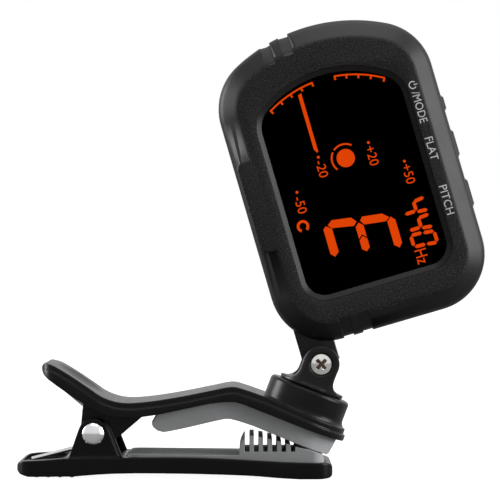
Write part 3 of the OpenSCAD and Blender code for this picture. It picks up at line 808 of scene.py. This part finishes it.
front_bezel()
display()
labels()
spring()
moulded("lower_jaw", "clip_base", "clip_plastic", CLIP_BLACK)
eased("lower_pad", "clip_base", "pad_rubber", PAD_GREY, 0.1, 2, 45)
eased("pivot_pin", "clip_base", "rivet_chrome", RIVET_CHROME, 0.05)
moulded("upper_jaw", "upper_clip", "clip_plastic", JAW_BLACK)
eased("upper_pad", "upper_clip", "pad_rubber", PAD_GREY, 0.18, 3, 45)
moulded("swivel_fork", "fork", "fork_plastic", FORK_BLACK, 10)
eased("tilt_screw", "fork", "screw_nickel", SCREW_METAL, 0.05)
eased("tilt_nut", "fork", "screw_nickel", NICKEL, 0.06)
eased("neck", "head", "fork_plastic", FORK_BLACK, 0.3, 3)
eased("rear_housing", "head", "shell_plastic", SHELL, 0.12)
eased("battery_cover", "battery_cover", "shell_plastic", SHELL, 0.15)
eased("display_lens", "head", "lens_plastic", WINDOW_BLACK, 0.05)
eased("housing_screws", "head", "screw_black", OXIDE, 0.08)
for key in ("mode_button", "flat_button", "pitch_button"):
    eased(key, key, "button_plastic", BUTTON_BLACK, 0.12)

# CAD nodes that are kept as they are, with their finish
KEPT = {
    "swivel_washer": NICKEL,
    "swivel_screw": NICKEL,
    "lcd_panel": PANEL,
    "backlight": GUIDE,
    "zebra_strip": ZEBRA,
    "circuit_board": BOARD,
    "tuner_chip": RESIN,
    "amplifier_chip": RESIN,
    "crystal": CAN,
    "tact_switches": CAN,
    "piezo_disc": BRASS,
    "battery": CAN,
    "battery_contact_positive": CONTACT,
    "battery_contact_negative": CONTACT,
}
for node, material in KEPT.items():
    materials = frame["nodes"][node].data.materials
    materials.clear()
    materials.append(material)


# ---- Floor, light and camera ----
VIEW_BACK_M = 0.42
VIEW_HEIGHT_M = 0.04265
VIEW_WIDTH_M = 0.095  # what the picture's width takes in at the tilt plane
FLOOR_TONE = 0.3
FLOOR_SHINE = 0.97
SKY_MIRRORED = 0.75  # world strength in reflections
SKY_ON_MATT = -0.45  # change of that strength for diffuse light


def floor():
    """Pale floor: near white to the camera, and dim where it would light the object."""
    material, nodes, links = shader("floor_white")
    nodes.remove(nodes["Principled BSDF"])
    place = nodes.new("ShaderNodeTexCoord")
    grain = nodes.new("ShaderNodeTexNoise")
    grain.inputs["Scale"].default_value = 40
    tone = nodes.new("ShaderNodeMapRange")
    tone.inputs["To Min"].default_value = FLOOR_TONE - 0.01
    tone.inputs["To Max"].default_value = FLOOR_TONE + 0.01
    dim = nodes.new("ShaderNodeBsdfDiffuse")
    shine = nodes.new("ShaderNodeEmission")
    shine.inputs["Strength"].default_value = FLOOR_SHINE
    bright = nodes.new("ShaderNodeAddShader")
    seen = nodes.new("ShaderNodeLightPath")
    choice = nodes.new("ShaderNodeMixShader")
    links.new(place.outputs["Object"], grain.inputs["Vector"])
    links.new(grain.outputs["Fac"], tone.inputs["Value"])
    links.new(tone.outputs["Result"], dim.inputs["Color"])
    links.new(dim.outputs["BSDF"], bright.inputs[0])
    links.new(shine.outputs["Emission"], bright.inputs[1])
    links.new(seen.outputs["Is Camera Ray"], choice.inputs["Fac"])
    links.new(dim.outputs["BSDF"], choice.inputs[1])
    links.new(bright.outputs["Shader"], choice.inputs[2])
    links.new(choice.outputs["Shader"], nodes["Material Output"].inputs["Surface"])
    mesh = bpy.data.meshes.new("floor")
    reach = 6.0
    mesh.from_pydata(
        [(-reach, -reach, 0), (reach, -reach, 0), (reach, reach, 0), (-reach, reach, 0)],
        [],
        [(0, 1, 2, 3)],
    )
    mesh.materials.append(material)
    piece = bpy.data.objects.new("floor", mesh)
    bpy.context.scene.collection.objects.link(piece)


def area_light(name, spot, size, power, aim=(0.0, 0.0, 0.045)):
    light = bpy.data.lights.new(name, "AREA")
    light.shape = "RECTANGLE"
    light.size, light.size_y = size
    light.energy = power
    lamp = bpy.data.objects.new(name, light)
    lamp.location = spot
    lamp.rotation_euler = (Vector(aim) - Vector(spot)).to_track_quat("-Z", "Y").to_euler()
    bpy.context.scene.collection.objects.link(lamp)


def world():
    """White where the camera sees it, and dim where it lights the object."""
    sky = bpy.data.worlds.new("studio")
    sky.use_nodes = True
    nodes, links = sky.node_tree.nodes, sky.node_tree.links
    seen = nodes.new("ShaderNodeLightPath")
    strength = nodes.new("ShaderNodeMapRange")
    strength.inputs["To Min"].default_value = SKY_MIRRORED
    strength.inputs["To Max"].default_value = 1.0
    links.new(seen.outputs["Is Camera Ray"], strength.inputs["Value"])
    matt = nodes.new("ShaderNodeMath")
    matt.operation = "MULTIPLY_ADD"
    matt.inputs[1].default_value = SKY_ON_MATT
    links.new(seen.outputs["Is Diffuse Ray"], matt.inputs[0])
    links.new(strength.outputs["Result"], matt.inputs[2])
    nodes["Background"].inputs["Color"].default_value = (1, 1, 1, 1)
    links.new(matt.outputs["Value"], nodes["Background"].inputs["Strength"])
    bpy.context.scene.world = sky


floor()
world()
area_light("top_soft", (0.05, 0.0, 0.6), (0.5, 0.5), 1.6)
area_light("right_soft", (0.5, -0.1, 0.15), (0.3, 0.5), 3.6)
area_light("left_soft", (-0.5, 0.1, 0.15), (0.2, 0.4), 3.0)

camera = bpy.data.cameras.new("camera")
camera.sensor_width = 36
camera.lens = camera.sensor_width * VIEW_BACK_M / VIEW_WIDTH_M
camera.clip_start = 0.01
viewer = bpy.data.objects.new("camera", camera)
viewer.location = (0, -VIEW_BACK_M, VIEW_HEIGHT_M)
viewer.rotation_euler = (math.radians(90), 0, 0)
bpy.context.scene.collection.objects.link(viewer)
bpy.context.scene.camera = viewer
bpy.context.scene.view_settings.view_transform = "Standard"

bpy.context.view_layer.update()
